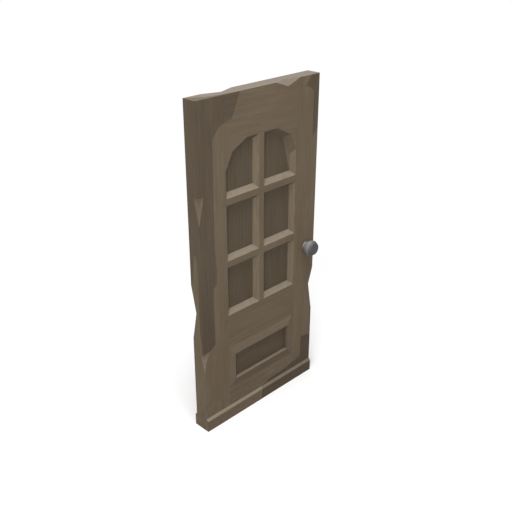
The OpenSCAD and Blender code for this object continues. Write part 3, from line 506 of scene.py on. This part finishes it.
def metal_finish(name, base, stain, stain_from, metallic, rough, round_r=0.0012, rubbed_and_painted_light=None):
    """Old metal: a dull grey, mottled, with stain spreading from small seeds where a noise is
    over stain_from, and a little pitting, darkened with painted shade where other parts close in
    round it. Arrises are rounded to round_r. The colour for a worn and lit knob, if given, is
    painted from the leaf's face out, fading from behind the knob's belly to its end face: partly
    wear by fingers, partly painted light on the rear of the knob, which faces away from the
    lamps."""
    made, w, shader = new_material(name)
    own = w.add("ShaderNodeTexCoord").outputs["Object"]
    mottle = w.noise(own, 60.0, detail=4.0, roughness=0.6)
    pits = w.noise(own, 900.0)
    spots = w.noise(w.vector("ADD", own, (0.3, 0.7, 0.2)), 120.0, detail=5.0, roughness=0.65)
    tarnish = w.ramp(spots, stain_from, stain_from + 0.14)
    deep, light = (tuple(c * share for c in base) + (1,) for share in (0.80, 1.15))
    colour = w.mix(w.ramp(mottle, 0.3, 0.7), deep, light)
    colour = w.mix(w.product(tarnish, 0.8), colour, tuple(stain) + (1,))
    # painted light: the rear of the knob is made paler, as well as worn bright by fingers
    if rubbed_and_painted_light:
        out_from_leaf = w.number("SUBTRACT", w.number("ABSOLUTE", w.split(own)[1]), HALF_T)
        rubbed_and_lit_share = w.product(w.fall(out_from_leaf, 0.046, 0.068),
                           w.ramp(mottle, 0.2, 0.6, 0.7, 1.0))
        colour = w.mix(rubbed_and_lit_share, colour, tuple(rubbed_and_painted_light) + (1,))
    # painted shade: darker where other parts close in round the metal
    open_air = w.add("ShaderNodeAmbientOcclusion", samples=4)
    open_air.inputs["Distance"].default_value = 0.025
    colour = w.mix(w.ramp(open_air.outputs["AO"], 0.20, 0.70, 0.28, 0.0), colour,
                   (0.045, 0.042, 0.038, 1))
    w.feed(shader.inputs["Base Color"], colour)
    w.feed(shader.inputs["Metallic"], w.product(w.rest(tarnish), metallic))
    w.feed(shader.inputs["Roughness"],
           w.total(w.ramp(mottle, 0.25, 0.75, rough - 0.06, rough + 0.08),
                   w.product(tarnish, 0.25)))
    rounded = w.add("ShaderNodeBevel", samples=6)
    rounded.inputs["Radius"].default_value = round_r
    relief = w.add("ShaderNodeBump")
    relief.inputs["Strength"].default_value = 0.5
    relief.inputs["Distance"].default_value = 1.0
    w.feed(relief.inputs["Height"], w.total(w.product(pits, 0.00008), w.product(spots, 0.00025)))
    w.feed(relief.inputs["Normal"], rounded.outputs[0])
    w.feed(shader.inputs["Normal"], relief.outputs[0])
    return made


# One board is dark on the hinge side of one edge and painted paler past it, as painted light; the
# edge is given as its own corners
PAINTED_LIGHT_EDGE = [(0.0, 0.262), (1.432, 0.262), (1.673, 0.196), (1.740, 0.178), (2.0, 0.178)]
# Each timber's grain, its log's heart (metres from the origin) and its darkness
UP, ACROSS = False, True
TIMBERS = {
    "hinge_stile": (UP, (0.52, 0.11, 0.0), PATCHES),
    "lock_stile": (UP, (-0.25, 0.13, 3.0), PATCHES),
    "top_rail": (ACROSS, (-2.05, 0.10, 0.0), PATCHES),
    "mid_rail": (ACROSS, (-0.50, 0.12, 7.0), 0.15),
    "bottom_rail": (ACROSS, (0.06, 0.15, 11.0), PATCHES),
    "centre_bar": (UP, (0.06, 0.09, 5.0), -0.15),
    "upper_bar_left": (ACROSS, (-1.36, 0.08, 2.0), 0.0),
    "upper_bar_right": (ACROSS, (-1.48, 0.07, 13.0), 0.0),
    "lower_bar_left": (ACROSS, (-0.98, 0.09, 17.0), 0.0),
    "lower_bar_right": (ACROSS, (-1.11, 0.06, 19.0), 0.0),
    "top_light_board_left": (UP, (0.20, 0.05, 23.0), 1.0),
    "top_light_board_right": (UP, (-0.05, 0.06, 29.0), PAINTED_LIGHT_EDGE),
    "middle_light_board_left": (UP, (0.09, 0.07, 31.0), 1.0),
    "middle_light_board_right": (UP, (-0.22, 0.05, 37.0), 1.0),
    "bottom_light_board_left": (UP, (0.24, 0.06, 41.0), 1.0),
    "bottom_light_board_right": (UP, (-0.10, 0.07, 43.0), 1.0),
    "lower_panel": (ACROSS, (-0.33, 0.06, 47.0), 0.83),
    "front_kickboard": (ACROSS, (-0.10, 0.14, 53.0), PATCHES),
    "back_kickboard": (ACROSS, (-0.02, -0.12, 59.0), PATCHES),
}
# The mouldings: the bottom strips are darker, with dirt and painted shade
for face, depth in (("front", 0.10), ("back", -0.10)):
    TIMBERS[face + "_moulding_top"] = (ACROSS, (-0.52, depth, 61.0), 0.05)
    TIMBERS[face + "_moulding_bottom"] = (ACROSS, (-0.20, depth, 67.0), 0.55)
    TIMBERS[face + "_moulding_left"] = (UP, (0.29, depth, 71.0), 0.05)
    TIMBERS[face + "_moulding_right"] = (UP, (-0.22, depth, 73.0), 0.10)

RUST = (0.090, 0.042, 0.020)
knob_iron = metal_finish("knob_iron", base=(0.085, 0.086, 0.085), stain=(0.07, 0.06, 0.05),
                         stain_from=0.60, metallic=0.30, rough=0.66, round_r=0.004,
                         rubbed_and_painted_light=(0.250, 0.250, 0.245))
latch_steel = metal_finish("latch_steel", base=(0.200, 0.190, 0.175), stain=RUST,
                           stain_from=0.52, metallic=0.85, rough=0.45)
rusty_nail = metal_finish("rusty_nail", base=(0.085, 0.062, 0.046), stain=RUST,
                          stain_from=0.55, metallic=0.20, rough=0.75)
METALS = {"knob": knob_iron, "rose": knob_iron, "grub": knob_iron,
          "nails": rusty_nail, "pins": rusty_nail}


def finish_for(name):
    """A timber's own finish, or the metal whose word is in the piece's name."""
    if name in TIMBERS:
        return timber_finish("timber_" + name, *TIMBERS[name])
    return next((metal for word, metal in METALS.items() if word in name), latch_steel)


for name, piece in nodes.items():
    piece.data.materials.clear()
    piece.data.materials.append(finish_for(name))


# The latch spring, which the bolt squashes as it draws back

SPRING_TURNS = 7
SPRING_WIRE_R = 0.0007
# Steps along one turn of the wire, and sides round it
COIL_STEPS, WIRE_SIDES = 24, 12


def spring_coil():
    """Round wire along a helix about a line in X, in place of the plain coil of the CAD. At turn
    t the wire's centre is climb(t) along the line and coil_r off it, 360 t degrees round. The
    first and last turns climb little more than a wire's width, and the rest share what is left.
    The wire's own circle, through b, lies in the plane of the line and that radius."""
    low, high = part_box("latch_spring")
    coil_r = (high[2] - low[2]) / 2 - SPRING_WIRE_R
    middle_y, middle_z = (low[1] + high[1]) / 2, (low[2] + high[2]) / 2
    t = np.linspace(0.0, SPRING_TURNS, SPRING_TURNS * COIL_STEPS + 1)[:, None]
    b = np.linspace(0.0, 2 * math.pi, WIRE_SIDES, endpoint=False)[None, :]
    close = 2.3 * SPRING_WIRE_R
    reach = high[0] - low[0] - 2 * SPRING_WIRE_R
    climb = np.interp(t, [0.0, 1.0, SPRING_TURNS - 1.0, SPRING_TURNS],
                      [0.0, close, reach - close, reach])
    off = coil_r + SPRING_WIRE_R * np.cos(b)
    points = np.stack([low[0] + SPRING_WIRE_R + climb + SPRING_WIRE_R * np.sin(b),
                       middle_y + off * np.cos(2 * math.pi * t),
                       middle_z + off * np.sin(2 * math.pi * t)], axis=-1).reshape(-1, 3)
    i, j = np.meshgrid(np.arange(len(t) - 1), np.arange(WIRE_SIDES), indexing="ij")
    here, after = i * WIRE_SIDES, (i + 1) * WIRE_SIDES
    k = (j + 1) % WIRE_SIDES
    quads = np.stack([here + j, after + j, after + k, here + k], axis=-1).reshape(-1, 4)
    first = np.arange(WIRE_SIDES)
    ends = [first.tolist(), (first[::-1] + (len(t) - 1) * WIRE_SIDES).tolist()]
    mesh = bpy.data.meshes.new("spring_coil")
    mesh.from_pydata(points.tolist(), [], quads.tolist() + ends)
    mesh.shade_smooth()
    mesh.materials.append(latch_steel)
    coil = bpy.data.objects.new("spring_coil", mesh)
    bpy.context.scene.collection.objects.link(coil)
    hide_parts("latch_spring")
    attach(coil, "leaf")
    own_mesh(coil)


spring_coil()


# Stage: a pale floor, a high soft lamp, a lower one beside the camera, and even air

FLOOR_R = 14.0
FLOOR_RINGS, FLOOR_SPOKES = 24, 96


def stage_floor():
    """A flat round floor, as rings of a polar grid; the camera, and gloss, see it pale. Ring i
    of n lies at r = FLOOR_R (i / n) ^ 1.5, so the rings are closest round the leaf."""
    r = np.linspace(0.0, 1.0, FLOOR_RINGS + 1)[1:, None] ** 1.5 * FLOOR_R
    a = np.linspace(0.0, 2 * math.pi, FLOOR_SPOKES, endpoint=False)[None, :]
    points = np.stack([r * np.cos(a), r * np.sin(a), np.zeros_like(r * a)], axis=-1)
    points = np.vstack([np.zeros((1, 3)), points.reshape(-1, 3)])
    i, j = np.meshgrid(np.arange(FLOOR_RINGS - 1), np.arange(FLOOR_SPOKES), indexing="ij")
    inner, outer = 1 + i * FLOOR_SPOKES, 1 + (i + 1) * FLOOR_SPOKES
    k = (j + 1) % FLOOR_SPOKES
    quads = np.stack([inner + j, outer + j, outer + k, inner + k], axis=-1).reshape(-1, 4)
    j = np.arange(FLOOR_SPOKES)
    middle = np.stack([np.zeros_like(j), 1 + j, 1 + (j + 1) % FLOOR_SPOKES], axis=-1)
    mesh = bpy.data.meshes.new("floor")
    mesh.from_pydata(points.tolist(), [], quads.tolist() + middle.tolist())
    floor = bpy.data.objects.new("floor", mesh)
    bpy.context.scene.collection.objects.link(floor)
    made, w, shader = new_material("floor_paint")
    path = w.add("ShaderNodeLightPath").outputs
    seen = w.largest(path["Is Camera Ray"], path["Is Glossy Ray"], path["Is Transmission Ray"])
    w.feed(shader.inputs["Base Color"],
           w.mix(seen, (0.20, 0.20, 0.20, 1), (0.80, 0.80, 0.80, 1)))
    shader.inputs["Roughness"].default_value = 0.9
    shader.inputs["Specular IOR Level"].default_value = 0.0
    # further out the floor runs into the white of the air behind it
    away = w.vector("LENGTH", w.add("ShaderNodeTexCoord").outputs["Object"])
    white = w.add("ShaderNodeEmission")
    blend = w.add("ShaderNodeMixShader")
    w.feed(blend.inputs[0], w.product(w.ramp(away, 0.9, 2.4), seen))
    w.feed(blend.inputs[1], shader.outputs[0])
    w.feed(blend.inputs[2], white.outputs[0])
    surface = next(n for n in made.node_tree.nodes if n.type == "OUTPUT_MATERIAL")
    w.feed(surface.inputs["Surface"], blend.outputs[0])
    mesh.materials.append(made)


def stage_air():
    """Even light from all round; the camera sees white."""
    world = bpy.data.worlds.new("air")
    world.use_nodes = True
    bpy.context.scene.world = world
    w = Pattern(world.node_tree)
    plain = next(n for n in world.node_tree.nodes if n.type == "BACKGROUND")
    plain.inputs["Color"].default_value = (1, 1, 1, 1)
    path = w.add("ShaderNodeLightPath").outputs
    seen = w.largest(path["Is Camera Ray"], path["Is Transmission Ray"])
    w.feed(plain.inputs["Strength"], w.ramp(seen, 0.0, 1.0, 0.46, 1.0, smooth=False))


def stage_lamp(name, direction, distance, size, level):
    """A round lamp aimed at the leaf's middle. level is what it adds to a white surface that
    faces it there: watts = level x pi squared x distance squared."""
    lamp = bpy.data.lights.new(name, "AREA")
    lamp.shape = "DISK"
    lamp.size = size
    lamp.energy = level * math.pi ** 2 * distance ** 2
    made = bpy.data.objects.new(name, lamp)
    bpy.context.scene.collection.objects.link(made)
    toward = Vector(direction).normalized()
    made.location = Vector((0, 0, LEAF_H / 2)) + toward * distance
    made.rotation_mode = "QUATERNION"
    made.rotation_quaternion = toward.to_track_quat("Z", "Y")


def stage_camera():
    """The camera stands out from the front's hinge corner and above the leaf. Azimuth is from
    the front toward the lock edge, elevation is up from the floor, both in degrees."""
    azimuth, elevation, distance = math.radians(-44.92), math.radians(26.28), 4.159
    aim = Vector((0.0, 0.0, LEAF_H / 2))
    out = Vector((math.sin(azimuth) * math.cos(elevation),
                  -math.cos(azimuth) * math.cos(elevation), math.sin(elevation)))
    view = bpy.data.cameras.new("camera")
    view.lens, view.sensor_width = 50.0, 36.0
    made = bpy.data.objects.new("camera", view)
    bpy.context.scene.collection.objects.link(made)
    made.location = aim + out * distance
    made.rotation_mode = "QUATERNION"
    made.rotation_quaternion = out.to_track_quat("Z", "Y")
    bpy.context.scene.camera = made


stage_floor()
stage_air()
stage_lamp("high_lamp", (-0.15, -0.14, 0.98), distance=8.0, size=4.6, level=1.12)
stage_lamp("front_lamp", (-0.72, -0.58, 0.38), distance=8.0, size=3.6, level=0.60)
stage_camera()
bpy.context.scene.view_settings.view_transform = "Standard"
